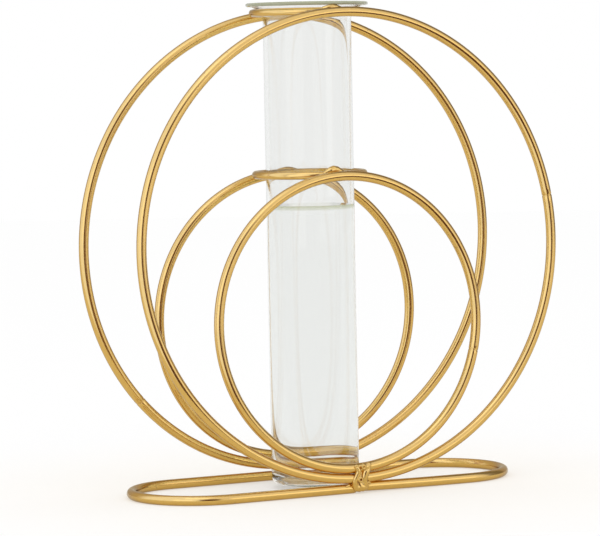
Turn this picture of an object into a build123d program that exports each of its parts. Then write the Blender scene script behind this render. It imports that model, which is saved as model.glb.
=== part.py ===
"""Test tube vase: a flared glass tube hung in a stand of hoops bent from round wire.

Millimetres, +Z up, the table at z = 0. X runs along the stand, and -Y is its front.
The origin is under the middle of the large hoops.
"""

from build123d import *
from math import asin, cos, degrees, radians, sin, sqrt
import os

os.makedirs("parts", exist_ok=True)

# Wire stand
wire_diameter = 4.0
collar_wire_diameter = 3.2
base_length = 170.0  # outside length of the base loop
base_depth = 60.0  # outside depth of the base loop
large_hoop_diameter = 192.0  # outside
small_hoop_diameter = 122.0  # outside
hoop_outboard = 1.0  # feet of the hoops stand this far outside the middle of the base wire
base_offset = -2.0  # base loop and small hoops, from the middle of the large hoops
tube_offset = -4.5  # tube and its collars, from the middle of the large hoops

# Welds
root_gap = 0.15  # gap between two wires that a weld bridges
seam_width = 0.5  # butt seam that closes a loop of wire
seam_recess = 0.12  # seam metal lies this far below the wire
large_front_seam = 10.5  # angles of the seams, degrees up from +X
large_back_seam = 222.0
small_front_seam = -14.0
bead_length = 9.0  # collar welds
bead_radius = 1.3
bead_proud = 0.6  # height of a collar weld over its wires
bead_taper = 0.3  # how much thinner the ends of a collar weld are
bead_steps = 5
foot_weld_offset = 1.2  # foot welds, from the middle of the large hoops
puddle_radius = 2.4
puddle_proud = 1.0
weave_width = 3.6  # foot welds run up in a zigzag this wide
weave_steps = 6
ground_clearance = 0.2

# Glass tube
tube_diameter = 36.0
tube_wall = 1.5
tube_floor = 1.6
heel_radius = 3.5  # outside corner of the closed end
table_gap = 1.5  # closed end hangs this far above the table
collar_clearance = 2.4
seat_clearance = 0.3  # flare to collar
lip_clearance = 0.3  # lip to the welds under it

wire_radius = wire_diameter / 2
collar_wire_radius = collar_wire_diameter / 2
tube_radius = tube_diameter / 2
bore_radius = tube_radius - tube_wall
touch = wire_diameter + root_gap  # between the middles of two welded wires of the base and the hoops

# The base wire lies on the table, and its two long sides are straight.
base_half_depth = base_depth / 2 - wire_radius
base_half_straight = base_length / 2 - wire_radius - base_half_depth

# Collars go round the tube. The hoops lean in so that their tops meet the collars, flush on top.
collar_radius = tube_radius + collar_clearance + collar_wire_radius
collar_rise = wire_radius - collar_wire_radius
collar_touch = sqrt((wire_radius + collar_wire_radius + root_gap) ** 2 - collar_rise**2)
hoop_foot_y = base_half_depth + hoop_outboard
hoop_top_y = collar_radius + collar_touch
large_radius = large_hoop_diameter / 2 - wire_radius
small_radius = small_hoop_diameter / 2 - wire_radius
large_foot_z = wire_radius + sqrt(touch**2 - hoop_outboard**2)
small_foot_z = large_foot_z + touch


def hoop_lean(radius):
    """Angle in degrees by which a hoop leans in."""
    return degrees(asin((hoop_foot_y - hoop_top_y) / (2 * radius)))


def hoop_plane(side, radius, middle_x, foot_z):
    """Plane of a hoop that stands at foot_z, with local y up the hoop. side is -1 at the front."""
    lean = radians(hoop_lean(radius))
    middle_y = side * (hoop_foot_y - radius * sin(lean))
    middle_z = foot_z + radius * cos(lean)
    return Plane((middle_x, middle_y, middle_z), x_dir=(1, 0, 0), z_dir=(0, -cos(lean), -side * sin(lean)))


def wire_arc(plane, radius, section_radius, start, sweep_angle):
    """Round wire bent round the plane's origin from a start angle, in degrees."""
    spoke = plane.x_dir.rotate(Axis((0, 0, 0), plane.z_dir), start)
    with BuildPart() as wire:
        with BuildSketch(Plane(plane.origin, x_dir=spoke, z_dir=spoke.cross(plane.z_dir))):
            with Locations((radius, 0)):
                Circle(section_radius)
        revolve(axis=Axis(plane.origin, plane.z_dir), revolution_arc=sweep_angle)
    return wire


def seamed_hoop(plane, radius, seam_angle):
    """Hoop with a gap at seam_angle, and the weld metal that fills the gap."""
    gap = degrees(seam_width / radius)
    ring = wire_arc(plane, radius, wire_radius, seam_angle + gap / 2, 360 - gap)
    seam = wire_arc(plane, radius, wire_radius - seam_recess, seam_angle - gap / 2, gap)
    return ring, seam


def collar_weld(side, collar_z, collar, ring):
    """Bead in the groove on top of a collar and a hoop that lie side by side, thickest in its middle."""
    bottom_z = collar_z + collar_wire_radius + bead_proud - 2 * bead_radius
    middle_y = side * (collar_radius + collar_wire_radius + root_gap / 2)
    with BuildPart() as bead:
        for step in range(bead_steps):
            along = step / (bead_steps - 1) - 0.5
            radius = bead_radius * (1 - bead_taper * (2 * along) ** 2)
            middle_x = tube_offset + along * (bead_length - 2 * bead_radius)
            with Locations((middle_x, middle_y, bottom_z + radius)):
                Sphere(radius, rotation=(0, 90, 0))
        add(collar.part, mode=Mode.SUBTRACT)
        add(ring.part, mode=Mode.SUBTRACT)
    return bead


def foot_weld(side, wires):
    """Bead woven up the outside of the base wire, the large hoop and the small hoop."""
    first_z = puddle_radius + ground_clearance
    rise = (small_foot_z + wire_radius / 4 - first_z) / (weave_steps - 1)
    middle_y = side * (hoop_foot_y + wire_radius + puddle_proud - puddle_radius)
    with BuildPart() as bead:
        for step in range(weave_steps):
            sway = side * weave_width / 2 * (-1) ** step
            with Locations((foot_weld_offset - sway, middle_y, first_z + step * rise)):
                Sphere(puddle_radius)
        split(bisect_by=Plane((0, side * hoop_foot_y, 0), z_dir=(0, side, 0)), keep=Keep.TOP)
        for wire in wires:
            add(wire.part, mode=Mode.SUBTRACT)
    return bead


# Base loop, with its seam in the middle of the front
with BuildPart() as base_loop:
    with BuildLine(Plane((base_offset, 0, wire_radius))) as base_path:
        Line((seam_width / 2, -base_half_depth), (base_half_straight, -base_half_depth))
        CenterArc((base_half_straight, 0), base_half_depth, -90, 180)
        Line((base_half_straight, base_half_depth), (-base_half_straight, base_half_depth))
        CenterArc((-base_half_straight, 0), base_half_depth, 90, 180)
        Line((-base_half_straight, -base_half_depth), (-seam_width / 2, -base_half_depth))
    with BuildSketch(Plane(base_path.line @ 0, z_dir=base_path.line % 0)):
        Circle(wire_radius)
    sweep()

with BuildPart() as base_seam:
    with BuildSketch(Plane((base_offset, -base_half_depth, wire_radius), z_dir=(1, 0, 0))):
        Circle(wire_radius - seam_recess)
    extrude(amount=seam_width / 2, both=True)

# Hoops
large_front = hoop_plane(-1, large_radius, 0, large_foot_z)
large_back = hoop_plane(1, large_radius, 0, large_foot_z)
small_front = hoop_plane(-1, small_radius, base_offset, small_foot_z)
small_back = hoop_plane(1, small_radius, base_offset, small_foot_z)

front_large_hoop, front_large_seam = seamed_hoop(large_front, large_radius, large_front_seam)
back_large_hoop, back_large_seam = seamed_hoop(large_back, large_radius, large_back_seam)
front_small_hoop, front_small_seam = seamed_hoop(small_front, small_radius, small_front_seam)
# This hoop closes under its foot weld, and each collar under its back weld.
back_small_hoop = wire_arc(small_back, small_radius, wire_radius, -90, 360)

# Collars are flush with the top of the hoops where they meet.
large_top_rise = sqrt(large_radius**2 - tube_offset**2)
small_top_rise = sqrt(small_radius**2 - (tube_offset - base_offset) ** 2)
upper_z = large_front.origin.Z + large_top_rise * cos(radians(hoop_lean(large_radius))) + collar_rise
lower_z = small_front.origin.Z + small_top_rise * cos(radians(hoop_lean(small_radius))) + collar_rise

upper_collar = wire_arc(Plane((tube_offset, 0, upper_z)), collar_radius, collar_wire_radius, 90, 360)
lower_collar = wire_arc(Plane((tube_offset, 0, lower_z)), collar_radius, collar_wire_radius, 90, 360)

# Welds
upper_front_weld = collar_weld(-1, upper_z, upper_collar, front_large_hoop)
upper_back_weld = collar_weld(1, upper_z, upper_collar, back_large_hoop)
lower_front_weld = collar_weld(-1, lower_z, lower_collar, front_small_hoop)
lower_back_weld = collar_weld(1, lower_z, lower_collar, back_small_hoop)
front_foot_weld = foot_weld(-1, [base_loop, base_seam, front_large_hoop, front_small_hoop])
back_foot_weld = foot_weld(1, [base_loop, back_large_hoop, back_small_hoop])

# The flare is as wide as it takes to sit on the collar with the lip clear of the welds.
lip_underside = collar_wire_radius + bead_proud + lip_clearance
reach = collar_wire_radius + seat_clearance
room = collar_clearance - seat_clearance
flare_radius = lip_underside + room + sqrt(2 * room * (lip_underside - reach))
flare_x = tube_radius + flare_radius
flare_z = upper_z + lip_underside - flare_radius
lip_middle_z = upper_z + lip_underside + tube_wall / 2
inner_heel = heel_radius - tube_wall
floor_z = table_gap + tube_floor

# Glass tube: closed rounded heel, straight wall and a flared lip with a round edge
with BuildPart() as glass_tube:
    with BuildSketch(Plane((tube_offset, 0, 0), x_dir=(1, 0, 0), z_dir=(0, -1, 0))):
        with BuildLine():
            Line((0, table_gap), (tube_radius - heel_radius, table_gap))
            CenterArc((tube_radius - heel_radius, table_gap + heel_radius), heel_radius, -90, 90)
            Line((tube_radius, table_gap + heel_radius), (tube_radius, flare_z))
            CenterArc((flare_x, flare_z), flare_radius, 180, -90)
            CenterArc((flare_x, lip_middle_z), tube_wall / 2, -90, 180)
            CenterArc((flare_x, flare_z), flare_radius + tube_wall, 90, 90)
            Line((bore_radius, flare_z), (bore_radius, floor_z + inner_heel))
            CenterArc((bore_radius - inner_heel, floor_z + inner_heel), inner_heel, 0, -90)
            Line((bore_radius - inner_heel, floor_z), (0, floor_z))
            Line((0, floor_z), (0, table_gap))
        make_face()
    revolve(axis=Axis((tube_offset, 0, 0), (0, 0, 1)))

pieces = {
    "base_loop": base_loop,
    "base_seam": base_seam,
    "front_large_hoop": front_large_hoop,
    "front_large_seam": front_large_seam,
    "back_large_hoop": back_large_hoop,
    "back_large_seam": back_large_seam,
    "front_small_hoop": front_small_hoop,
    "front_small_seam": front_small_seam,
    "back_small_hoop": back_small_hoop,
    "upper_collar": upper_collar,
    "lower_collar": lower_collar,
    "upper_front_weld": upper_front_weld,
    "upper_back_weld": upper_back_weld,
    "lower_front_weld": lower_front_weld,
    "lower_back_weld": lower_back_weld,
    "front_foot_weld": front_foot_weld,
    "back_foot_weld": back_foot_weld,
    "glass_tube": glass_tube,
}
for name, piece in pieces.items():
    piece.part.label = name
    export_step(piece.part, f"parts/{name}.step")
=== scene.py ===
"""Looks of the test tube vase: a flared glass tube of water in a stand of gold wire hoops.

Metres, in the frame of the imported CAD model. X runs along the stand, -Y is its front and +Z is up.
"""

import logging
import math
from collections.abc import Iterable
from dataclasses import astuple, dataclass, field
from enum import Enum

import bmesh
import bpy
from mathutils import Matrix, Vector


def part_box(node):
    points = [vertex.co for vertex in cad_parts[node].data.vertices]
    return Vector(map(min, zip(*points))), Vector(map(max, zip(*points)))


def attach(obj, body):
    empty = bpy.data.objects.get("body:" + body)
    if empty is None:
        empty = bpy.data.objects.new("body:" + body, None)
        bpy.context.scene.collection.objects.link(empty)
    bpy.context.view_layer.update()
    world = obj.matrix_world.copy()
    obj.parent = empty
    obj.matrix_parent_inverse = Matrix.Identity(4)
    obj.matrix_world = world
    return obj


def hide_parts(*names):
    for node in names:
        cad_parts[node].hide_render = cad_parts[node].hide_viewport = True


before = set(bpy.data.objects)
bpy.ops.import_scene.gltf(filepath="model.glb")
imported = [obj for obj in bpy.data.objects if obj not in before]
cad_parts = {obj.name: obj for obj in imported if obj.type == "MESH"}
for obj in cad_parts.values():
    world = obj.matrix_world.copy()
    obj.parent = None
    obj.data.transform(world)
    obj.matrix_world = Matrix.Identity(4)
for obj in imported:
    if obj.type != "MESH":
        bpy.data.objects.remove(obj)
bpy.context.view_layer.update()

MM = 0.001
MERGE_DISTANCE = 0.001 * MM
GRAIN_MAP = "grain"
GLASS_BOUNCES = 32
UP = Vector((0, 0, 1))
LEVEL_PART = (1.0, 1.0, 0.0)
log = logging.getLogger("test_tube_vase")

Colour = tuple[float, float, float]
Span = tuple[float, float]
WHITE: Colour = (1.0, 1.0, 1.0)


class Body(Enum):
    """CAD bodies that the pieces ride on."""

    STAND = "stand"
    TUBE = "tube"


class Slot(Enum):
    """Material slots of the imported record."""

    WIRE = "stand_wire"
    WELD = "weld_metal"
    GLASS = "tube_glass"


class Side(Enum):
    """Side of the stand, as the sign of Y."""

    FRONT = -1
    BACK = 1


class Graph:
    """Node tree of a finish or of the world, with short calls that add nodes and join them."""

    # Vector operations whose result is a number
    NUMBER_OPERATIONS = ("LENGTH", "DOT_PRODUCT")
    # Sockets of the mix node that hold colours share their names with others, so they go by number.
    SHARE, FIRST, SECOND, MIXED = 0, 6, 7, 2

    def __init__(self, tree: bpy.types.NodeTree) -> None:
        """Takes a node tree."""
        self.tree = tree

    def add(
        self, kind: str, inputs: dict[str | int, object] | None = None, **settings: object
    ) -> bpy.types.Node:
        """Adds a node.

        Args:
            kind: Blender's name of the node type.
            inputs: socket name or number to a constant, or to an output socket to join.
            settings: the node's own properties.

        Returns:
            The new node.
        """
        node = self.tree.nodes.new(kind)
        for name, value in settings.items():
            setattr(node, name, value)
        self.put(node, inputs or {})
        return node

    def put(self, node: bpy.types.Node, inputs: dict[str | int, object]) -> None:
        """Joins output sockets to inputs of a node, or sets the inputs to constants.

        Args:
            node: node that has the inputs.
            inputs: socket name or number to an output socket, number, colour or vector.
        """
        for name, value in inputs.items():
            if isinstance(value, bpy.types.NodeSocket):
                self.tree.links.new(value, node.inputs[name])
            elif isinstance(value, tuple) and node.inputs[name].type == "RGBA":
                node.inputs[name].default_value = (*value, 1.0)
            else:
                node.inputs[name].default_value = value

    def place(self, kind: str = "Object") -> bpy.types.NodeSocket:
        """Adds texture coordinates and returns one kind of them."""
        return self.add("ShaderNodeTexCoord").outputs[kind]

    def stretch(self, vector: bpy.types.NodeSocket, scale: tuple[float, ...]) -> bpy.types.NodeSocket:
        """Scales a place by a factor for each axis and returns the result."""
        return self.add("ShaderNodeMapping", {"Vector": vector, "Scale": scale}).outputs[0]

    def noise(
        self, vector: bpy.types.NodeSocket, scale: float = 1.0, detail: float = 2.0
    ) -> bpy.types.NodeSocket:
        """Adds a noise texture.

        Args:
            vector: socket that gives the place.
            scale: size of the pattern, as repeats in a unit of the place.
            detail: octaves.

        Returns:
            The socket with the noise, from 0 to 1.
        """
        node = self.add("ShaderNodeTexNoise", {"Vector": vector, "Scale": scale, "Detail": detail})
        return node.outputs[0]

    def spread(
        self,
        value: bpy.types.NodeSocket,
        low: float,
        high: float,
        out_low: float = 0.0,
        out_high: float = 1.0,
    ) -> bpy.types.NodeSocket:
        """Maps a span of values smoothly to another span.

        Args:
            value: socket with the values.
            low: value that becomes out_low.
            high: value that becomes out_high.
            out_low: new value at low.
            out_high: new value at high.

        Returns:
            The socket with the new values.
        """
        node = self.add(
            "ShaderNodeMapRange",
            {"Value": value, "From Min": low, "From Max": high, "To Min": out_low, "To Max": out_high},
            interpolation_type="SMOOTHSTEP",
        )
        return node.outputs[0]

    def math(self, operation: str, first: object, second: object) -> bpy.types.NodeSocket:
        """Adds a math node on two values and returns its result."""
        return self.add("ShaderNodeMath", {0: first, 1: second}, operation=operation).outputs[0]

    def vector(self, operation: str, *vectors: object) -> bpy.types.NodeSocket:
        """Adds a vector math node on one or two vectors and returns its result."""
        node = self.add("ShaderNodeVectorMath", dict(enumerate(vectors)), operation=operation)
        return node.outputs["Value" if operation in self.NUMBER_OPERATIONS else "Vector"]

    def blend(self, share: object, first: object, second: object, mode: str = "MIX") -> bpy.types.NodeSocket:
        """Mixes two colours.

        Args:
            share: share of the second colour.
            first: colour or socket.
            second: colour or socket.
            mode: blend type of the node.

        Returns:
            The socket with the mixed colour.
        """
        node = self.add("ShaderNodeMix", data_type="RGBA", blend_type=mode)
        self.put(node, {self.SHARE: share, self.FIRST: first, self.SECOND: second})
        return node.outputs[self.MIXED]

    def relief(self, height: bpy.types.NodeSocket, strength: float, depth: float) -> bpy.types.NodeSocket:
        """Adds a bump node.

        Args:
            height: socket with the height.
            strength: strength of the bump.
            depth: depth that a height of 1 stands for.

        Returns:
            The socket with the bumped normal.
        """
        node = self.add("ShaderNodeBump", {"Height": height, "Strength": strength, "Distance": depth})
        return node.outputs[0]


def new_finish(name: str) -> tuple[bpy.types.Material, Graph, bpy.types.Node]:
    """Starts a material.

    Args:
        name: name of the finish.

    Returns:
        The material, its node graph and its shader node.
    """
    material = bpy.data.materials.new(name)
    material.use_nodes = True
    return material, Graph(material.node_tree), material.node_tree.nodes["Principled BSDF"]


@dataclass(frozen=True)
class GoldPaint:
    """Satin gold paint on metal with fine dark specks, streaked along a drawn wire or blotchy on a weld."""

    name: str
    light: Colour = (0.77, 0.468, 0.055)
    dark: Colour = (0.70, 0.418, 0.044)
    speck: Colour = (0.33, 0.18, 0.02)
    rim_tint: Colour = (0.42, 0.33, 0.19)
    coat: float = 1.0
    coat_rough: float = 0.2
    coat_index: float = 1.95
    smooth: float = 0.12
    rough: float = 0.19
    drawn: bool = True
    streak_along: float = 0.35
    streak_across: float = 3.0
    streak_detail: float = 3.0
    blotch_scale: float = 400.0
    blotch_detail: float = 4.0
    grain_scale: float = 3200.0
    noise_span: Span = (0.3, 0.7)
    speck_scale: float = 900.0
    speck_detail: float = 3.0
    speck_start: float = 0.69
    speck_fade: float = 0.06
    bump: float = 0.05
    bump_height: float = 0.04 * MM

    def material(self) -> bpy.types.Material:
        """Makes the material.

        Returns:
            The finish as a node material.
        """
        material, graph, shader = new_finish(self.name)
        place = graph.place()
        if self.drawn:
            run = graph.stretch(graph.place("UV"), (self.streak_along, self.streak_across, 1.0))
            streak = graph.noise(run, detail=self.streak_detail)
        else:
            streak = graph.noise(place, self.blotch_scale, self.blotch_detail)
        grain = graph.noise(place, self.grain_scale)
        flecks = graph.noise(place, self.speck_scale, self.speck_detail)
        specks = graph.spread(flecks, self.speck_start, self.speck_start + self.speck_fade)
        paint = graph.blend(graph.spread(streak, *self.noise_span), self.dark, self.light)
        height = graph.math("ADD", streak, grain)
        graph.put(shader, {
            "Base Color": graph.blend(specks, paint, self.speck),
            "Roughness": graph.spread(grain, *self.noise_span, self.smooth, self.rough),
            "Normal": graph.relief(height, self.bump, self.bump_height),
            "Metallic": 1.0,
            "Specular Tint": self.rim_tint,
            "Coat Weight": self.coat,
            "Coat Roughness": self.coat_rough,
            "Coat IOR": self.coat_index,
        })
        return material


@dataclass(frozen=True)
class DrawnGlass:
    """Clear tube glass with faint draw lines down its length, a grey-green body and a pale green lip band:
    the green is the glass's own, and the band's paleness is painted light for the light carried along the
    wall to the lip.
    """

    name: str
    axis: Vector
    lip_radius: float
    tint: Colour = (0.925, 0.927, 0.922)
    body: Colour = (0.70, 0.80, 0.68)
    body_density: float = 20.0
    index: float = 1.5
    line_across: float = 700.0
    line_along: float = 6.0
    bump: float = 0.08
    bump_height: float = 0.03 * MM
    # Lip band: its green is the glass's own, its paleness is painted light for the light carried along the
    # wall to the lip
    lip_green_and_light: Colour = (0.66, 0.68, 0.47)
    lip_depth: float = 1.3 * MM
    lip_fade: float = 0.3 * MM
    lip_clear: float = 0.4

    def material(self) -> bpy.types.Material:
        """Makes the material.

        Returns:
            The finish as a node material.
        """
        material, graph, shader = new_finish(self.name)
        place = graph.place()
        lines = graph.noise(graph.stretch(place, (self.line_across, self.line_across, self.line_along)))
        spoke = graph.vector("MULTIPLY", graph.vector("SUBTRACT", place, self.axis), LEVEL_PART)
        lip_start = self.lip_radius - self.lip_depth
        lip = graph.spread(graph.vector("LENGTH", spoke), lip_start, lip_start + self.lip_fade)
        graph.put(shader, {
            # Painted light: a pale, partly diffuse band at the lip, green from the glass itself
            "Base Color": graph.blend(lip, self.tint, self.lip_green_and_light),
            "Transmission Weight": graph.spread(lip, 0, 1, 1, self.lip_clear),
            "Normal": graph.relief(lines, self.bump, self.bump_height),
            "Roughness": 0.0,
            "IOR": self.index,
        })
        body = graph.add("ShaderNodeVolumeAbsorption", {"Color": self.body, "Density": self.body_density})
        graph.put(graph.tree.nodes["Material Output"], {"Volume": body.outputs[0]})
        return material


@dataclass(frozen=True)
class StillWater:
    """Clear water with a painted green-grey shade band at its brim, which stands in for the light bent and
    reflected at the meniscus.
    """

    name: str
    level: float
    tint: Colour = (0.985, 0.99, 0.985)
    # Painted shade: a green-grey band at the brim in place of the meniscus's bent and reflected light
    meniscus_shade_colour: Colour = (0.62, 0.64, 0.47)
    brim_depth: float = 2.2 * MM
    brim_fade: float = 1.1 * MM
    index: float = 1.33

    def material(self) -> bpy.types.Material:
        """Makes the material.

        Returns:
            The finish as a node material.
        """
        material, graph, shader = new_finish(self.name)
        height = graph.add("ShaderNodeSeparateXYZ", {0: graph.place()}).outputs["Z"]
        brim_start = self.level - self.brim_depth
        brim = graph.spread(height, brim_start, brim_start + self.brim_fade)
        graph.put(shader, {
            # Painted shade: the water is tinted darker green-grey just below its level
            "Base Color": graph.blend(brim, self.tint, self.meniscus_shade_colour),
            "Transmission Weight": 1.0,
            "Roughness": 0.0,
            "IOR": self.index,
        })
        return material


def add_object(name: str, data: bpy.types.ID) -> bpy.types.Object:
    """Adds an object to the scene.

    Args:
        name: name of the object.
        data: its mesh, camera or light.

    Returns:
        The new object.
    """
    made = bpy.data.objects.new(name, data)
    bpy.context.scene.collection.objects.link(made)
    return made


def mesh_object(mesh: bmesh.types.BMesh, name: str, material: bpy.types.Material) -> bpy.types.Object:
    """Turns a bmesh into an object.

    Args:
        mesh: shape in the frame of the model; it is freed.
        name: name of the object.
        material: finish.

    Returns:
        The new object.
    """
    data = bpy.data.meshes.new(name)
    mesh.to_mesh(data)
    mesh.free()
    data.materials.append(material)
    return add_object(name, data)


def finish_piece(
    mesh: bmesh.types.BMesh,
    name: str,
    material: bpy.types.Material,
    body: Body,
    nodes: Iterable[str],
) -> bpy.types.Object:
    """Turns a bmesh into a piece that rides on a body and stands for CAD nodes.

    Args:
        mesh: shape in the frame of the model; it is freed.
        name: name of the piece.
        material: finish.
        body: body that the piece rides on.
        nodes: CAD nodes that the piece replaces.

    Returns:
        The new object.
    """
    for face in mesh.faces:
        face.smooth = True
    piece = mesh_object(mesh, name, material)
    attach(piece, body.value)
    for node in nodes:
        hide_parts(node)
    log.info("%s: %d faces on %s", name, len(piece.data.polygons), body.value)
    return piece


def close_up(mesh: bmesh.types.BMesh) -> None:
    """Merges doubled vertices and turns the faces outwards."""
    bmesh.ops.remove_doubles(mesh, verts=mesh.verts, dist=MERGE_DISTANCE)
    bmesh.ops.recalc_face_normals(mesh, faces=mesh.faces)


def half_height(node: str) -> float:
    """Returns half the height of a CAD node, which is the wire's radius if the node is a level wire."""
    low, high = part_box(node)
    return (high.z - low.z) / 2


def box_middle(node: str) -> Vector:
    """Returns the middle of a CAD node's box."""
    low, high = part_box(node)
    return (low + high) / 2


@dataclass
class Wire:
    """Round wire of the stand, which is remade about its own middle and put where its CAD node is.

    A wire that has a seam is open there, and its two ends are rounded.
    """

    node: str
    wire_radius: float
    seam: str | None = None
    seam_width: float = 0.5 * MM
    sides: int = 32
    end_rounding: float = 0.15 * MM
    end_steps: int = 2
    middle: Vector = field(init=False)
    size: Vector = field(init=False)

    def __post_init__(self) -> None:
        """Reads the wire's place from its CAD node."""
        low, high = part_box(self.node)
        self.middle = (low + high) / 2
        self.size = high - low

    def place(self) -> Matrix:
        """Returns the matrix that puts the wire in its place."""
        return Matrix.Translation(self.middle)

    def length(self) -> float:
        """Returns the length of the wire."""
        raise NotImplementedError

    def where(self, point: Vector) -> tuple[float, float]:
        """Returns the lengths along the wire and round it at a point, from the wire's middle."""
        raise NotImplementedError

    def round_ends(self, mesh: bmesh.types.BMesh) -> None:
        """Closes the two ends of an open wire and rounds their edges.

        Args:
            mesh: the wire.
        """
        rims = [edge for edge in mesh.edges if edge.is_boundary]
        bmesh.ops.holes_fill(mesh, edges=rims, sides=0)
        bmesh.ops.bevel(
            mesh,
            geom=rims,
            offset=self.end_rounding,
            affect="EDGES",
            segments=self.end_steps,
            profile=0.5,
            material=-1,
            clamp_overlap=True,
        )

    def lay_grain(self, mesh: bmesh.types.BMesh) -> None:
        """Writes a map of the lengths along the wire and round it, in millimetres.

        Args:
            mesh: the wire.
        """
        layer = mesh.loops.layers.uv.new(GRAIN_MAP)
        turns = (self.length(), math.tau * self.wire_radius)
        for face in mesh.faces:
            first = self.where(face.calc_center_median())
            for loop in face.loops:
                here = self.where(loop.vert.co)
                loop[layer].uv = [
                    (value - turn * round((value - start) / turn)) / MM
                    for value, start, turn in zip(here, first, turns)
                ]

    def finish(self, mesh: bmesh.types.BMesh, material: bpy.types.Material) -> bpy.types.Object:
        """Closes the wire, lays its grain and puts it in its place.

        Args:
            mesh: the wire.
            material: finish of the wire.

        Returns:
            The finished piece.
        """
        if self.seam:
            self.round_ends(mesh)
        close_up(mesh)
        self.lay_grain(mesh)
        bmesh.ops.transform(mesh, matrix=self.place(), verts=mesh.verts)
        return finish_piece(mesh, self.node + "_wire", material, Body.STAND, [self.node])


@dataclass
class WireRing(Wire):
    """Ring bent from round wire: a hoop of the stand, or a collar round the tube."""

    steps: int = 240
    radius: float = field(init=False)
    lean: float = field(init=False)
    level: bool = field(init=False)

    def __post_init__(self) -> None:
        """Reads the ring's place from its CAD node."""
        super().__post_init__()
        self.radius = self.size.x / 2 - self.wire_radius
        self.level = self.size.z < self.size.y
        side = Side.FRONT if self.middle.y < 0 else Side.BACK
        lean_depth = self.size.y - 2 * self.wire_radius
        self.lean = 0.0 if self.level else -side.value * math.asin(lean_depth / (2 * self.radius))

    def place(self) -> Matrix:
        """Returns the matrix that stands the flat ring up in its place."""
        turn = Matrix.Identity(4) if self.level else Matrix.Rotation(math.pi / 2 - self.lean, 4, "X")
        return super().place() @ turn

    def length(self) -> float:
        """Returns the length of the whole ring."""
        return math.tau * self.radius

    def where(self, point: Vector) -> tuple[float, float]:
        """Returns the lengths along the wire and round it at a point of the flat ring."""
        along = math.atan2(point.y, point.x) * self.radius
        around = math.atan2(point.z, math.hypot(point.x, point.y) - self.radius) * self.wire_radius
        return along, around

    def seam_span(self) -> tuple[float, float]:
        """Finds the gap that the seam fills.

        Returns:
            The angle of the middle of the gap on the ring, and the gap's width in radians.
        """
        spot = self.place().inverted() @ box_middle(self.seam)
        return math.atan2(spot.y, spot.x), self.seam_width / self.radius

    def build(self, material: bpy.types.Material) -> bpy.types.Object:
        """Spins the wire's section round the ring.

        Args:
            material: finish of the wire.

        Returns:
            The finished piece.
        """
        start, gap = self.seam_span() if self.seam else (math.pi / 2, 0.0)
        mesh = bmesh.new()
        section = Matrix.Translation((self.radius, 0, 0)) @ Matrix.Rotation(math.pi / 2, 4, "X")
        turn = Matrix.Rotation(start + gap / 2, 4, "Z") @ section
        bmesh.ops.create_circle(mesh, segments=self.sides, radius=self.wire_radius, matrix=turn)
        bmesh.ops.spin(
            mesh,
            geom=mesh.edges[:],
            cent=(0, 0, 0),
            axis=UP,
            angle=math.tau - gap,
            steps=self.steps,
            use_merge=not self.seam,
        )
        return self.finish(mesh, material)


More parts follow.
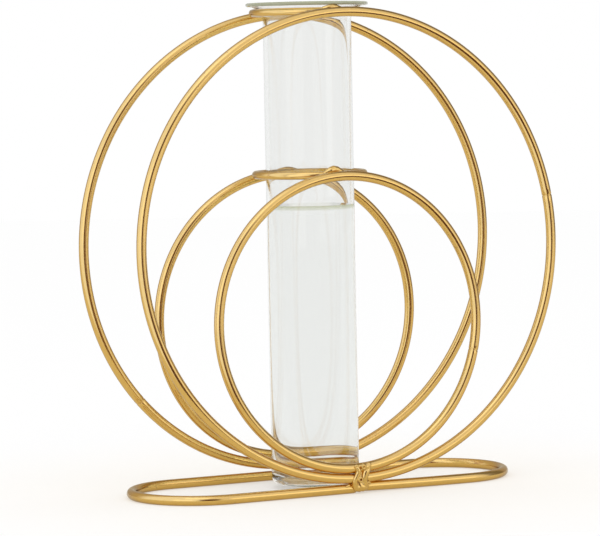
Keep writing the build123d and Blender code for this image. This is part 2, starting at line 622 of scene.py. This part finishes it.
@dataclass
class BaseLoop(Wire):
    """Long loop of wire that lies on the table, closed by a seam in the middle of its front."""

    bend_steps: int = 64
    run_steps: int = 40
    seam_step: float = 0.6 * MM
    half_depth: float = field(init=False)
    half_run: float = field(init=False)

    def __post_init__(self) -> None:
        """Reads the loop's place from its CAD node."""
        super().__post_init__()
        self.half_depth = self.size.y / 2 - self.wire_radius
        self.half_run = self.size.x / 2 - self.wire_radius - self.half_depth

    def length(self) -> float:
        """Returns the length of the whole loop."""
        return 4 * self.half_run + math.tau * self.half_depth

    def where(self, point: Vector) -> tuple[float, float]:
        """Finds a point on the wire.

        Args:
            point: point of the loop, from its middle.

        Returns:
            The lengths along the wire and round it.
        """
        bend = self.half_depth * math.pi
        end = max(-self.half_run, min(self.half_run, point.x))
        across = Vector((point.x - end, point.y))
        turn = math.atan2(across.y, across.x)
        if point.x >= self.half_run:
            along = self.half_run + self.half_depth * (turn + math.pi / 2)
        elif point.x <= -self.half_run:
            along = 3 * self.half_run + bend + self.half_depth * ((turn - math.pi / 2) % math.tau)
        elif point.y > 0:
            along = 2 * self.half_run + bend - point.x
        else:
            along = point.x
        return along, math.atan2(point.z, across.length - self.half_depth) * self.wire_radius

    def run_on(
        self, mesh: bmesh.types.BMesh, ring: list[bmesh.types.BMEdge], length: float, drop: float = 0.0
    ) -> list[bmesh.types.BMEdge]:
        """Extrudes the wire's end along X in steps.

        Args:
            mesh: the wire so far.
            ring: edges of its open end.
            length: length of the run, negative towards -X.
            drop: height that the run comes down by, most steeply at its start.

        Returns:
            The edges of the new open end.
        """
        for step in range(self.run_steps):
            made = bmesh.ops.extrude_edge_only(mesh, edges=ring)["geom"]
            verts = [item for item in made if isinstance(item, bmesh.types.BMVert)]
            down = drop * (2 * (self.run_steps - step) - 1) / self.run_steps**2
            bmesh.ops.translate(mesh, verts=verts, vec=(length / self.run_steps, 0, -down))
            moved = set(verts)
            ring = [e for e in made if isinstance(e, bmesh.types.BMEdge) and set(e.verts) <= moved]
        return ring

    def bend_on(
        self, mesh: bmesh.types.BMesh, ring: list[bmesh.types.BMEdge], centre_x: float
    ) -> list[bmesh.types.BMEdge]:
        """Spins the wire's end half a turn about an end of the loop.

        Args:
            mesh: the wire so far.
            ring: edges of its open end.
            centre_x: middle of the bend.

        Returns:
            The edges of the new open end.
        """
        made = bmesh.ops.spin(
            mesh, geom=ring, cent=(centre_x, 0, 0), axis=UP, angle=math.pi, steps=self.bend_steps
        )["geom_last"]
        return [item for item in made if isinstance(item, bmesh.types.BMEdge)]

    def build(self, material: bpy.types.Material) -> bpy.types.Object:
        """Runs the wire's section round the loop from the seam, where its start is a step higher.

        Args:
            material: finish of the wire.

        Returns:
            The finished piece.
        """
        seam_x = box_middle(self.seam).x - self.middle.x
        gap = self.seam_width / 2
        mesh = bmesh.new()
        start = Matrix.Translation((seam_x + gap, -self.half_depth, self.seam_step))
        section = start @ Matrix.Rotation(math.pi / 2, 4, "Y")
        bmesh.ops.create_circle(mesh, segments=self.sides, radius=self.wire_radius, matrix=section)
        ring = self.run_on(mesh, mesh.edges[:], self.half_run - seam_x - gap, self.seam_step)
        ring = self.bend_on(mesh, ring, self.half_run)
        ring = self.run_on(mesh, ring, -2 * self.half_run)
        ring = self.bend_on(mesh, ring, -self.half_run)
        self.run_on(mesh, ring, self.half_run + seam_x - gap)
        return self.finish(mesh, material)


def melt(piece: bpy.types.Object, grain: float, rounds: int) -> None:
    """Melts overlapping lumps into one skin.

    Args:
        piece: object whose mesh is a heap of closed lumps.
        grain: size of the voxels.
        rounds: rounds of smoothing.
    """
    skin = piece.modifiers.new("skin", "REMESH")
    skin.mode = "VOXEL"
    skin.voxel_size = grain
    skin.use_smooth_shade = True
    flow = piece.modifiers.new("flow", "SMOOTH")
    flow.iterations = rounds
    shown = piece.evaluated_get(bpy.context.evaluated_depsgraph_get())
    melted = bpy.data.meshes.new_from_object(shown)
    piece.modifiers.clear()
    piece.data = melted


@dataclass(frozen=True)
class Lump:
    """Drop of weld metal, or a ring of it round a crater.

    The place is from the weld's middle, seen from the weld's own side of the stand: x to the right,
    y inwards and z up. Lengths are in millimetres.
    A drop runs into the drop before it, and a ring ends the run.
    """

    x: float
    y: float
    z: float
    radius: float
    ring: float = 0.0


@dataclass
class Weld:
    """Bead of weld metal that stands for a weld of the CAD model."""

    node: str
    lumps: tuple[Lump, ...]
    side: Side
    fill: int = 4
    ball_rounds: int = 3
    ring_sides: int = 12
    ring_steps: int = 24
    grain: float = 0.12 * MM
    rounds: int = 9

    def drops(self) -> list[Lump]:
        """Fills the runs between neighbouring drops.

        Returns:
            The lumps with the drops between them.
        """
        filled = [self.lumps[0]]
        for before, lump in zip(self.lumps, self.lumps[1:]):
            steps = 1 if before.ring or lump.ring else self.fill
            for step in range(1, steps):
                share = step / steps
                filled.append(Lump(*(a + (b - a) * share for a, b in zip(astuple(before), astuple(lump)))))
            filled.append(lump)
        return filled

    def add_drop(self, mesh: bmesh.types.BMesh, spot: Vector, radius: float) -> None:
        """Adds a round drop.

        Args:
            mesh: the heap so far.
            spot: middle of the drop.
            radius: radius of the drop.
        """
        place = Matrix.Translation(spot)
        bmesh.ops.create_icosphere(mesh, subdivisions=self.ball_rounds, radius=radius, matrix=place)

    def add_ring(self, mesh: bmesh.types.BMesh, spot: Vector, radius: float, reach: float) -> None:
        """Adds a ring that faces out of the stand.

        Args:
            mesh: the heap so far.
            spot: middle of the ring.
            radius: radius of the ring's section.
            reach: distance of the section from the middle.
        """
        place = Matrix.Translation(spot + Vector((reach, 0, 0)))
        made = bmesh.ops.create_circle(mesh, segments=self.ring_sides, radius=radius, matrix=place)
        edges = dict.fromkeys(edge for vert in made["verts"] for edge in vert.link_edges)
        bmesh.ops.spin(
            mesh,
            geom=list(edges),
            cent=spot,
            axis=(0, 1, 0),
            angle=math.tau,
            steps=self.ring_steps,
            use_merge=True,
        )

    def build(self, material: bpy.types.Material) -> bpy.types.Object:
        """Heaps the lumps up at the weld and melts them together.

        Args:
            material: finish of the weld.

        Returns:
            The finished piece.
        """
        middle = box_middle(self.node)
        mesh = bmesh.new()
        for lump in self.drops():
            spot = middle + Vector((-self.side.value * lump.x, -self.side.value * lump.y, lump.z)) * MM
            if lump.ring:
                self.add_ring(mesh, spot, lump.radius * MM, lump.ring * MM)
            else:
                self.add_drop(mesh, spot, lump.radius * MM)
        piece = finish_piece(mesh, self.node + "_bead", material, Body.STAND, [self.node])
        melt(piece, self.grain, self.rounds)
        return piece


@dataclass
class Lathe:
    """Round shape that is spun from half of its section, drawn from the axis and back to it.

    A corner is its distance from the axis, its height and its rounding.
    """

    axis: Vector
    corners: list[tuple[float, float, float]]
    steps: int = 160
    arc_steps: int = 14
    axis_margin: float = 0.01 * MM

    def spin(self) -> bmesh.types.BMesh:
        """Draws the section as a face, rounds its corners and spins its outline.

        Returns:
            The closed shape.
        """
        mesh = bmesh.new()
        verts = [mesh.verts.new((x, 0, z)) for x, z, _ in self.corners]
        mesh.faces.new(verts)
        for vert, (_, _, rounding) in zip(verts, self.corners):
            if rounding:
                bmesh.ops.bevel(
                    mesh,
                    geom=[vert],
                    offset=rounding,
                    affect="VERTICES",
                    segments=self.arc_steps,
                    profile=0.5,
                    material=-1,
                    clamp_overlap=False,
                )
        bmesh.ops.delete(mesh, geom=mesh.faces[:], context="FACES_ONLY")
        on_axis = [edge for edge in mesh.edges if all(abs(v.co.x) <= self.axis_margin for v in edge.verts)]
        bmesh.ops.delete(mesh, geom=on_axis, context="EDGES")
        bmesh.ops.spin(
            mesh,
            geom=mesh.edges[:],
            cent=(0, 0, 0),
            axis=UP,
            angle=math.tau,
            steps=self.steps,
            use_merge=True,
        )
        close_up(mesh)
        bmesh.ops.translate(mesh, verts=mesh.verts, vec=self.axis)
        return mesh


@dataclass
class GlassTube:
    """Blown glass tube with a round heel and a flared lip, and the water in it."""

    node: str = "glass_tube"
    wall: float = 1.5 * MM
    floor: float = 1.6 * MM
    heel: float = 3.5 * MM
    outside_radius: float = 18.0 * MM
    edge_share: float = 0.499
    water_level: float = 116.0 * MM
    wet: float = 0.05 * MM
    hold: float = 0.3 * MM
    bottom: float = field(init=False)
    top: float = field(init=False)
    lip_radius: float = field(init=False)
    axis: Vector = field(init=False)

    def __post_init__(self) -> None:
        """Reads the tube's place from its CAD node."""
        low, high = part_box(self.node)
        self.bottom, self.top = low.z, high.z
        self.lip_radius = (high.x - low.x) / 2
        self.axis = Vector(((low.x + high.x) / 2, (low.y + high.y) / 2, 0))

    def build_glass(self, material: bpy.types.Material) -> bpy.types.Object:
        """Spins the wall.

        Args:
            material: finish of the glass.

        Returns:
            The finished piece.
        """
        flare = self.lip_radius - self.wall / 2 - self.outside_radius
        bore = self.outside_radius - self.wall
        inner_floor = self.bottom + self.floor
        inner_heel = self.heel - self.wall
        flare_start = self.top - self.wall - flare - self.hold
        # Two roundings make the round edge of the lip, and just fail to meet.
        edge = self.wall * self.edge_share
        corners = [
            (0, self.bottom, 0),
            (self.outside_radius - self.heel - self.hold, self.bottom, 0),
            (self.outside_radius, self.bottom, self.heel),
            (self.outside_radius, self.bottom + self.heel + self.hold, 0),
            (self.outside_radius, flare_start, 0),
            (self.outside_radius, self.top - self.wall, flare),
            (self.lip_radius, self.top - self.wall, edge),
            (self.lip_radius, self.top, edge),
            (bore, self.top, flare + self.wall),
            (bore, flare_start, 0),
            (bore, inner_floor + inner_heel + self.hold, 0),
            (bore, inner_floor, inner_heel),
            (bore - inner_heel - self.hold, inner_floor, 0),
            (0, inner_floor, 0),
        ]
        mesh = Lathe(self.axis, corners).spin()
        return finish_piece(mesh, "blown_tube", material, Body.TUBE, [self.node])

    def build_water(self, material: bpy.types.Material) -> bpy.types.Object:
        """Spins the water, which wets the wall.

        Args:
            material: finish of the water.

        Returns:
            The finished piece.
        """
        wet_radius = self.outside_radius - self.wall + self.wet
        wet_floor = self.bottom + self.floor - self.wet
        wet_heel = self.heel - self.wall + self.wet
        corners = [
            (0, wet_floor, 0),
            (wet_radius - wet_heel - self.hold, wet_floor, 0),
            (wet_radius, wet_floor, wet_heel),
            (wet_radius, wet_floor + wet_heel + self.hold, 0),
            (wet_radius, self.water_level - self.wet - self.hold, 0),
            (wet_radius, self.water_level, self.wet),
            (wet_radius - self.wet - self.hold, self.water_level, 0),
            (0, self.water_level, 0),
        ]
        mesh = Lathe(self.axis, corners).spin()
        return finish_piece(mesh, "water", material, Body.TUBE, [])


def direction(azimuth: float, elevation: float) -> Vector:
    """Works out the direction from the object to a camera or a lamp.

    Args:
        azimuth: degrees round from the front, positive towards +X.
        elevation: degrees up.

    Returns:
        The direction, one unit long.
    """
    turn, tilt = math.radians(azimuth), math.radians(elevation)
    return Vector((math.sin(turn) * math.cos(tilt), -math.cos(turn) * math.cos(tilt), math.sin(tilt)))


def look_at(target: Vector, way: Vector, distance: float) -> Matrix:
    """Places a camera or a lamp so that it looks at a point.

    Args:
        target: point that it looks at.
        way: direction from the point to the camera or lamp.
        distance: distance from the point.

    Returns:
        The matrix of its place.
    """
    aim = (-way).to_track_quat("-Z", "Y").to_matrix().to_4x4()
    return Matrix.Translation(target + way * distance) @ aim


@dataclass
class PhotoCamera:
    """Camera at the photograph's viewpoint, aimed at a point on the stand."""

    name: str = "photo_camera"
    azimuth: float = -27.968
    elevation: float = 3.586
    distance: float = 1.318014
    roll: float = -1.106
    lens: float = 193.59
    sensor: float = 36.0
    clip: Span = (0.01, 100.0)
    target: tuple[float, float, float] = (-0.009866, 0.0, 0.090158)

    def back(self) -> Vector:
        """Returns the direction from the object to the camera."""
        return direction(self.azimuth, self.elevation)

    def build(self) -> bpy.types.Object:
        """Adds the camera and makes it the scene's camera.

        Returns:
            The camera object.
        """
        data = bpy.data.cameras.new(self.name)
        data.sensor_width = self.sensor
        data.lens = self.lens
        data.clip_start, data.clip_end = self.clip
        camera = add_object(self.name, data)
        roll = Matrix.Rotation(math.radians(self.roll), 4, "Z")
        camera.matrix_world = look_at(Vector(self.target), self.back(), self.distance) @ roll
        bpy.context.scene.camera = camera
        return camera


@dataclass(frozen=True)
class SoftBox:
    """Square lamp that looks at the object. Its azimuth is from the camera's, in degrees."""

    name: str
    azimuth: float
    elevation: float
    size: float
    radiance: float
    distance: float = 1.1

    def build(self, target: Vector, camera_azimuth: float) -> bpy.types.Object:
        """Adds the lamp.

        Args:
            target: point that it looks at.
            camera_azimuth: azimuth of the camera, in degrees.

        Returns:
            The lamp object.
        """
        data = bpy.data.lights.new(self.name, "AREA")
        data.size = self.size
        data.energy = self.radiance * math.pi * self.size**2
        lamp = add_object(self.name, data)
        way = direction(camera_azimuth + self.azimuth, self.elevation)
        lamp.matrix_world = look_at(target, way, self.distance)
        return lamp


@dataclass(frozen=True)
class Opening:
    """Round dark opening in the walls. Turn and tilt are to the right of the camera and up, in degrees."""

    turn: float
    tilt: float
    half_width: float


@dataclass
class Studio:
    """White table, white surroundings and three soft boxes.

    The gold reflects tinted walls with dark openings, and the glass a plain grey.
    """

    camera: PhotoCamera
    # Table, which shines a little so that it looks white
    table_name: str = "white_table"
    table_front: float = 0.15
    table_back: float = 2.4
    table_half_width: float = 2.0
    table_colour: Colour = (0.52, 0.52, 0.52)
    table_lift: float = 0.47
    # Painted reflection: a darker, warm table colour that only the gold's reflections show
    table_glint: Colour = (0.32, 0.28, 0.18)
    # Painted light: a warm glow of bounce light painted on the table round the stand, with a little more
    # lift there
    bounce_glow_colour: Colour = (1.0, 0.955, 0.88)
    bounce_glow_span: Span = (0.06, 0.22)
    bounce_glow_lift: float = 0.02
    # Painted light under the tube, seen only through the glass, which fills in the tube's shadow on the
    # table
    under_tube_fill_span: Span = (0.02, 0.05)
    under_tube_fill_lift: float = 0.35
    # Walls that the gold reflects, which are dim at the right from beside the object to behind it
    back_light: Colour = (0.62, 0.54, 0.40)
    back_span: Span = (-0.5, 0.0)
    left_light: Colour = (1.13, 1.25, 1.80)
    right_light: Colour = (0.98, 0.99, 1.20)
    lit_span: Span = (-0.15, 0.35)
    room_light: float = 0.36
    room_span: Span = (-0.7, 0.0)
    room_edge: float = 0.2
    opening_colour: Colour = (0.12, 0.045, 0.0)
    opening_core: float = 0.75
    opening_rim: float = 1.2
    openings: tuple[Opening, ...] = (
        Opening(15.5, 14.0, 16.0),
        Opening(15.0, -4.0, 15.0),
        Opening(32.0, -26.0, 20.0),
        Opening(50.0, -22.0, 16.0),
    )
    # Grey that the glass reflects
    glass_light: Colour = (0.72, 0.72, 0.73)
    # Lamps, which look at a point above the origin
    lamp_target: tuple[float, float, float] = (0.0, 0.0, 0.1)
    lamps: tuple[SoftBox, ...] = (
        SoftBox("left_softbox", azimuth=-28.0, elevation=12.0, size=0.6, radiance=0.25),
        SoftBox("right_softbox", azimuth=58.0, elevation=9.0, size=0.4, radiance=0.5),
        SoftBox("top_softbox", azimuth=-10.0, elevation=60.0, size=0.6, radiance=0.4),
    )

    def table_finish(self) -> bpy.types.Material:
        """Makes the table's material, which is brighter to the camera and through the glass, with painted
        light: a warm painted glow round the stand, painted light under the tube and a warm painted
        reflection colour in the gold.

        Returns:
            The finish as a node material.
        """
        material, graph, shader = new_finish(self.table_name)
        rays = graph.add("ShaderNodeLightPath").outputs
        through = rays["Is Singular Ray"]
        seen = graph.math("MAXIMUM", rays["Is Camera Ray"], through)
        mirrored = graph.math("SUBTRACT", rays["Is Glossy Ray"], through)
        reach = graph.vector("LENGTH", graph.place())
        # Painted light: the warm bounce glow and its extra lift fade out with distance from the stand
        glow = graph.spread(reach, *self.bounce_glow_span, 1, 0)
        near = graph.spread(reach, *self.bounce_glow_span, self.table_lift + self.bounce_glow_lift, self.table_lift)
        # Painted light: the table under the tube is brighter to rays through the glass
        under = graph.spread(reach, *self.under_tube_fill_span, self.under_tube_fill_lift, 0)
        lift = graph.math("ADD", graph.math("MULTIPLY", seen, near), graph.math("MULTIPLY", through, under))
        shine = graph.blend(glow, WHITE, self.bounce_glow_colour)
        graph.put(shader, {
            "Base Color": self.table_colour,
            "Roughness": 1.0,
            "Specular IOR Level": 0.0,
            # Painted reflection: the gold sees the table in a darker, warm colour
            "Emission Color": graph.blend(mirrored, shine, self.table_glint),
            "Emission Strength": graph.math("ADD", lift, mirrored),
        })
        return material

    def build_table(self) -> bpy.types.Object:
        """Adds the table, whose front edge is just outside the picture.

        Returns:
            The table object.
        """
        mesh = bmesh.new()
        bmesh.ops.create_grid(mesh, x_segments=1, y_segments=1, size=1.0)
        half_depth = (self.table_back + self.table_front) / 2
        stretch = Matrix.Diagonal((self.table_half_width, half_depth, 1.0, 1.0))
        shift = Matrix.Translation((0, (self.table_back - self.table_front) / 2, 0))
        turn = Matrix.Rotation(math.radians(self.camera.azimuth), 4, "Z")
        bmesh.ops.transform(mesh, matrix=turn @ shift @ stretch, verts=mesh.verts)
        table = mesh_object(mesh, self.table_name, self.table_finish())
        return table

    def paint_walls(self, graph: Graph) -> bpy.types.NodeSocket:
        """Paints the walls that the gold reflects.

        Args:
            graph: node graph of the world.

        Returns:
            The socket with the colour of the walls.
        """
        way = graph.place("Generated")
        front = self.camera.back()
        right = UP.cross(front).normalized()
        ahead = graph.vector("DOT_PRODUCT", way, front)
        to_right = graph.spread(graph.vector("DOT_PRODUCT", way, right), *self.lit_span)
        walls = graph.blend(to_right, self.left_light, self.right_light)
        walls = graph.blend(graph.spread(ahead, *self.back_span), self.back_light, walls)
        behind, beside = self.room_span
        room = graph.math(
            "MULTIPLY",
            graph.spread(ahead, behind - self.room_edge, behind + self.room_edge),
            graph.spread(ahead, beside - self.room_edge, beside + self.room_edge, 1, 0),
        )
        room = graph.math("MULTIPLY", room, to_right)
        walls = graph.blend(1.0, walls, graph.spread(room, 0, 1, 1, self.room_light), "MULTIPLY")
        for opening in self.openings:
            turn = Matrix.Rotation(math.radians(opening.turn), 3, "Z")
            tilt = Matrix.Rotation(math.radians(-opening.tilt), 3, right)
            core = math.cos(math.radians(opening.half_width * self.opening_core))
            rim = math.cos(math.radians(opening.half_width * self.opening_rim))
            facing = graph.vector("DOT_PRODUCT", way, turn @ tilt @ front)
            walls = graph.blend(graph.spread(facing, rim, core), walls, self.opening_colour)
        return walls

    def build_surround(self) -> None:
        """Makes the world: white, but for the walls in the gold and the grey that the glass reflects."""
        world = bpy.data.worlds.new("white_surround")
        bpy.context.scene.world = world
        world.use_nodes = True
        world.node_tree.nodes.clear()
        graph = Graph(world.node_tree)
        rays = graph.add("ShaderNodeLightPath").outputs
        in_gold = graph.math("SUBTRACT", rays["Is Glossy Ray"], rays["Is Singular Ray"])
        in_glass = graph.math("SUBTRACT", rays["Is Singular Ray"], rays["Is Transmission Ray"])
        room = graph.blend(in_gold, WHITE, self.paint_walls(graph))
        seen = graph.blend(in_glass, room, self.glass_light)
        sky = graph.add("ShaderNodeBackground", {"Color": seen, "Strength": 1.0})
        out = graph.add("ShaderNodeOutputWorld", {"Surface": sky.outputs[0]})
        out.is_active_output = True

    def build_lamps(self) -> None:
        """Adds the soft boxes."""
        for lamp in self.lamps:
            lamp.build(Vector(self.lamp_target), self.camera.azimuth)


# Lumps of the collar welds, from left to right
UPPER_LUMPS = (
    Lump(-5.4, -0.5, 0.0, 0.90),
    Lump(-4.2, -1.0, 0.25, 1.10),
    Lump(-2.9, -1.3, 0.45, 1.20),
    Lump(-1.5, -1.4, 0.60, 1.25),
    Lump(0.0, -1.3, 0.45, 1.20),
    Lump(1.4, -0.9, 0.15, 1.10),
    Lump(2.6, -0.4, 0.0, 0.90),
)

LOWER_FRONT_LUMPS = (
    Lump(-5.6, 0.0, 0.0, 0.90),
    Lump(-4.4, 0.1, 0.50, 1.20),
    Lump(-3.2, -0.2, 1.10, 1.45),
    Lump(-1.8, 0.0, 1.45, 1.55),
    Lump(-0.4, 0.1, 1.20, 1.50),
    Lump(0.9, 0.0, 0.60, 1.30),
    Lump(2.1, 0.0, 0.15, 1.05),
    Lump(3.0, 0.0, 0.0, 0.85),
)

LOWER_BACK_LUMPS = (
    Lump(-5.4, 0.0, 0.0, 0.90),
    Lump(-4.1, 0.1, 0.10, 1.10),
    Lump(-2.7, -0.2, 0.25, 1.25),
    Lump(-1.2, 0.0, 0.35, 1.30),
    Lump(0.3, 0.1, 0.30, 1.25),
    Lump(1.8, 0.0, 0.15, 1.15),
    Lump(3.2, 0.0, 0.05, 1.00),
    Lump(4.3, 0.0, 0.0, 0.85),
)

# Lumps of a foot weld: a tail at the lower left, and then four craters, each with a run after it
FOOT_LUMPS = (
    Lump(-5.2, 1.90, -2.75, 0.60),
    Lump(-6.2, 1.20, -3.15, 0.65),
    Lump(-7.5, 0.90, -3.45, 0.50),
    Lump(-3.5, -0.60, 4.35, 0.40, 0.60),
    Lump(-3.0, -0.30, 3.60, 1.10),
    Lump(-2.6, -0.30, 2.60, 1.25),
    Lump(-2.8, -0.30, 1.50, 1.20),
    Lump(-3.4, -0.30, 0.40, 1.20),
    Lump(-4.0, -0.20, -0.70, 1.20),
    Lump(-4.2, -0.05, -1.90, 1.20),
    Lump(-3.8, 0.40, -3.10, 1.35),
    Lump(-3.2, 0.70, -4.20, 1.50),
    Lump(-0.5, -1.20, 4.20, 0.45, 0.70),
    Lump(0.2, 0.30, 4.10, 1.40),
    Lump(1.3, 0.30, 3.90, 1.60),
    Lump(2.5, 0.10, 4.80, 1.05),
    Lump(1.9, 0.30, 2.90, 1.50),
    Lump(1.1, 0.20, 1.90, 1.70),
    Lump(0.6, 0.10, 0.90, 1.60),
    Lump(0.3, 0.10, -0.20, 1.55),
    Lump(0.2, 0.20, -1.20, 1.50),
    Lump(0.4, 0.30, -2.20, 1.50),
    Lump(0.1, 0.50, -3.20, 1.60),
    Lump(-0.7, 0.70, -4.00, 1.60),
    Lump(-1.8, 0.80, -4.50, 1.60),
    Lump(-2.0, -1.25, -0.95, 0.42, 0.85),
    Lump(-1.0, 1.40, 1.40, 1.50),
    Lump(-1.4, 1.30, 0.00, 1.60),
    Lump(-1.8, 1.05, -1.40, 1.65),
    Lump(-1.8, 0.90, -2.80, 1.75),
    Lump(-1.4, 0.70, -3.80, 1.80),
    Lump(-0.3, 0.65, -4.20, 1.80),
    Lump(0.9, 0.85, -4.10, 1.60),
    Lump(-2.7, 0.75, -4.20, 1.75),
    Lump(2.1, -0.48, -2.75, 0.32, 0.55),
    Lump(1.6, 0.40, -2.65, 0.90),
)


def main() -> None:
    """Builds the stand, the tube and the studio in order."""
    logging.basicConfig(level=logging.INFO, format="%(message)s")
    scene = bpy.context.scene
    scene.view_settings.view_transform = "Standard"
    for kind in ("max_bounces", "transmission_bounces", "glossy_bounces"):
        setattr(scene.cycles, kind, GLASS_BOUNCES)

    wire_paint = GoldPaint("gold_wire").material()
    weld_paint = GoldPaint(
        "gold_weld",
        smooth=0.14,
        rough=0.26,
        drawn=False,
        grain_scale=1600.0,
        speck_start=0.72,
        bump=0.12,
        bump_height=0.08 * MM,
    ).material()
    tube = GlassTube()
    glass = DrawnGlass("clear_glass", tube.axis, tube.lip_radius).material()
    water = StillWater("still_water", tube.water_level).material()

    wire_radius = half_height("base_loop")
    for node, seam in (
        ("front_large_hoop", "front_large_seam"),
        ("back_large_hoop", "back_large_seam"),
        ("front_small_hoop", "front_small_seam"),
        ("back_small_hoop", None),
    ):
        WireRing(node, wire_radius, seam).build(wire_paint)
    for node in ("upper_collar", "lower_collar"):
        WireRing(node, half_height(node)).build(wire_paint)
    BaseLoop("base_loop", wire_radius, "base_seam").build(wire_paint)

    for node in ("base_seam", "front_large_seam", "back_large_seam", "front_small_seam"):
        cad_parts[node].data.materials.clear()
        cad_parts[node].data.materials.append(weld_paint)
        log.info("%s: CAD solid in weld metal", node)

    for side, lower_lumps in ((Side.FRONT, LOWER_FRONT_LUMPS), (Side.BACK, LOWER_BACK_LUMPS)):
        word = side.name.lower()
        Weld(f"upper_{word}_weld", UPPER_LUMPS, side).build(weld_paint)
        Weld(f"lower_{word}_weld", lower_lumps, side).build(weld_paint)
        Weld(f"{word}_foot_weld", FOOT_LUMPS, side).build(weld_paint)

    tube.build_glass(glass)
    tube.build_water(water)

    camera = PhotoCamera()
    camera.build()
    studio = Studio(camera)
    studio.build_table()
    studio.build_surround()
    studio.build_lamps()


if __name__ == "__main__":
    main()
